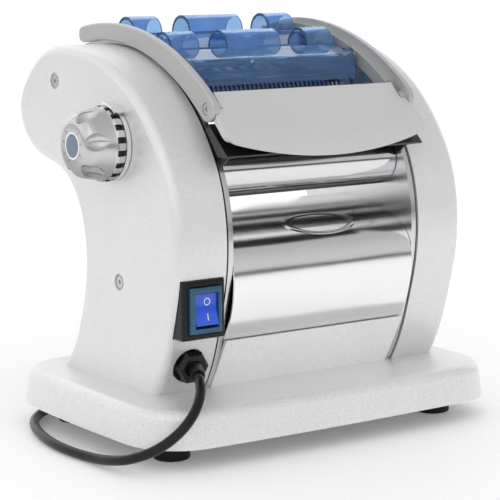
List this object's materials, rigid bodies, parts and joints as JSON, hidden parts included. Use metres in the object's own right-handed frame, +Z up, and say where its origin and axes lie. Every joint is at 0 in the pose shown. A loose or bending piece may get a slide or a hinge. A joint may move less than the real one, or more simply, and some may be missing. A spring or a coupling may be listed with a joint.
{
  "type": "electric pasta maker",
  "caption": "Motor driven pasta sheeter and noodle cutter on a heavy stand, with curved housings, a thickness dial, a rocker switch, a lift-up finger guard and a mains cord.",
  "frame": {"origin": "centre of the machine's outer box in plan, on the surface that the feet stand on; the cord, its coil and the plug are left out of that box", "axes": "+X from the dial side to the plain side, +Y from the front (switch, dough rollers) to the back, +Z up"},
  "size_m": [0.3326, 0.3291, 0.2983],
  "materials": {
    "base_cast": "grey hammer paint",
    "plate_dark": "pressed sheet",
    "rubber": "matt",
    "screw_steel": "zinc plated",
    "side_steel": "polished edge",
    "gasket_black": "matt",
    "housing_paint": "silver grey paint",
    "chrome_sheet": "mirror",
    "apron_paint": "fine granular paint",
    "hood_paint": "light silver paint",
    "rail_paint": "light grey paint",
    "guard_blue": "clear blue moulded plastic",
    "roller_steel": "ground smooth",
    "bush_plastic": "smooth",
    "cutter_alloy": "machined",
    "gear_plastic": "moulded",
    "gear_steel": "hobbed",
    "knob_silver": "satin silver",
    "dial_black": "moulded",
    "cap_blue_grey": "gloss",
    "clip_chrome": "bright",
    "motor_black": "satin",
    "switch_black": "moulded",
    "bezel_smoke": "translucent smoke blue",
    "rocker_blue": "translucent blue",
    "gland_black": "moulded",
    "cord_black": "smooth sheath"
  },
  "bodies": {
    "frame": {"base_shell": "base_cast", "base_plate": "plate_dark", "rubber_feet": "rubber", "foot_screws": "screw_steel", "left_side_plate": "side_steel", "right_side_plate": "side_steel", "plate_gaskets": "gasket_black", "tie_rods": "screw_steel", "left_housing": "housing_paint", "right_housing": "housing_paint", "housing_screws": "screw_steel", "motor_cover": "chrome_sheet", "front_apron": "apron_paint", "rear_cover": "plate_dark", "rear_hood": "hood_paint", "front_hood": "hood_paint", "hood_bracket": "plate_dark", "pivot_screws": "screw_steel", "roller_bushes": "bush_plastic", "roller_scrapers": "bush_plastic", "dial_pointer": "clip_chrome", "cutter_bushes": "bush_plastic", "cutter_combs": "bush_plastic", "idler_pins": "screw_steel", "gearmotor": "motor_black", "motor_saddle": "plate_dark", "switch_surround": "switch_black", "switch_bezel": "bezel_smoke", "cord_gland": "gland_black", "cord_sleeve": "gland_black", "power_cord": "cord_black", "cord_coil": "cord_black", "mains_plug": "cord_black"},
    "guard": {"finger_guard": "guard_blue", "left_rail": "rail_paint", "right_rail": "rail_paint", "guard_screws": "screw_steel"},
    "dial": {"dial_knob": "knob_silver", "dial_ring": "dial_black", "knob_cap": "cap_blue_grey", "adjuster_shaft": "screw_steel"},
    "roller_carrier": {"roller_carriers": "plate_dark"},
    "front_roller": {"front_roller": "roller_steel", "roller_drive_gear": "gear_plastic", "front_roller_gear": "gear_plastic"},
    "rear_roller": {"rear_roller": "roller_steel", "rear_roller_gear": "gear_plastic"},
    "narrow_front": {"narrow_cutter_front": "cutter_alloy", "narrow_front_gear": "gear_plastic"},
    "narrow_rear": {"narrow_cutter_rear": "cutter_alloy", "narrow_rear_gear": "gear_plastic"},
    "wide_front": {"wide_cutter_front": "cutter_alloy", "wide_front_gear": "gear_plastic"},
    "wide_rear": {"wide_cutter_rear": "cutter_alloy", "wide_rear_gear": "gear_plastic"},
    "drive_idler": {"drive_idler": "gear_plastic"},
    "cutter_idler": {"cutter_idler": "gear_plastic"},
    "transfer_idler": {"transfer_idler": "gear_plastic"},
    "motor_pinion": {"motor_pinion": "gear_steel"},
    "rocker": {"switch_rocker": "rocker_blue"}
  },
  "joints": [
    {"name": "guard_hinge", "type": "hinge", "parent": "frame", "child": "guard", "pos_m": [0.0053, -0.07518, 0.23976], "axis": [1, 0, 0], "range_deg": [0, 75]},
    {"name": "dial_turn", "type": "hinge", "parent": "frame", "child": "dial", "pos_m": [-0.1447, -0.0138, 0.2135], "axis": [1, 0, 0], "range_deg": [0, 180]},
    {"name": "carrier_slide", "type": "slide", "parent": "frame", "child": "roller_carrier", "axis": [0, -1, 0], "range_m": [0, 0.0018]},
    {"name": "front_roller_spin", "type": "hinge", "parent": "frame", "child": "front_roller", "pos_m": [0.0053, -0.0585, 0.1945], "axis": [1, 0, 0], "continuous": true},
    {"name": "rear_roller_spin", "type": "hinge", "parent": "roller_carrier", "child": "rear_roller", "pos_m": [0.0053, -0.0215, 0.1945], "axis": [1, 0, 0], "continuous": true},
    {"name": "narrow_front_spin", "type": "hinge", "parent": "frame", "child": "narrow_front", "pos_m": [0.0053, -0.00466, 0.2423], "axis": [1, 0, 0], "continuous": true},
    {"name": "narrow_rear_spin", "type": "hinge", "parent": "frame", "child": "narrow_rear", "pos_m": [0.0053, 0.01934, 0.2423], "axis": [1, 0, 0], "continuous": true},
    {"name": "wide_front_spin", "type": "hinge", "parent": "frame", "child": "wide_front", "pos_m": [0.0053, 0.04621, 0.24586], "axis": [1, 0, 0], "continuous": true},
    {"name": "wide_rear_spin", "type": "hinge", "parent": "frame", "child": "wide_rear", "pos_m": [0.0053, 0.07021, 0.24586], "axis": [1, 0, 0], "continuous": true},
    {"name": "drive_idler_spin", "type": "hinge", "parent": "frame", "child": "drive_idler", "pos_m": [0.0053, -0.04923, 0.14893], "axis": [1, 0, 0], "continuous": true},
    {"name": "cutter_idler_spin", "type": "hinge", "parent": "frame", "child": "cutter_idler", "pos_m": [0.0053, -0.03158, 0.2184], "axis": [1, 0, 0], "continuous": true},
    {"name": "transfer_idler_spin", "type": "hinge", "parent": "frame", "child": "transfer_idler", "pos_m": [0.0053, 0.02077, 0.24408], "axis": [1, 0, 0], "continuous": true},
    {"name": "motor_pinion_spin", "type": "hinge", "parent": "frame", "child": "motor_pinion", "pos_m": [0.0053, -0.04056, 0.10631], "axis": [1, 0, 0], "continuous": true},
    {"name": "rocker_tilt", "type": "hinge", "parent": "frame", "child": "rocker", "pos_m": [-0.1, -0.0925, 0.1046], "axis": [1, 0, 0], "range_deg": [0, 14]}
  ],
  "couplings": [
    {"joint": "dial_turn", "follows": "carrier_slide", "rad_per_m": 1745},
    {"joint": "rear_roller_spin", "follows": "front_roller_spin", "ratio": -1},
    {"joint": "drive_idler_spin", "follows": "front_roller_spin", "ratio": -0.55},
    {"joint": "motor_pinion_spin", "follows": "front_roller_spin", "ratio": 1.2222},
    {"joint": "cutter_idler_spin", "follows": "front_roller_spin", "ratio": -0.5},
    {"joint": "narrow_front_spin", "follows": "front_roller_spin", "ratio": 1},
    {"joint": "narrow_rear_spin", "follows": "front_roller_spin", "ratio": -1},
    {"joint": "transfer_idler_spin", "follows": "front_roller_spin", "ratio": -0.88889},
    {"joint": "wide_front_spin", "follows": "front_roller_spin", "ratio": 1},
    {"joint": "wide_rear_spin", "follows": "front_roller_spin", "ratio": -1}
  ]
}
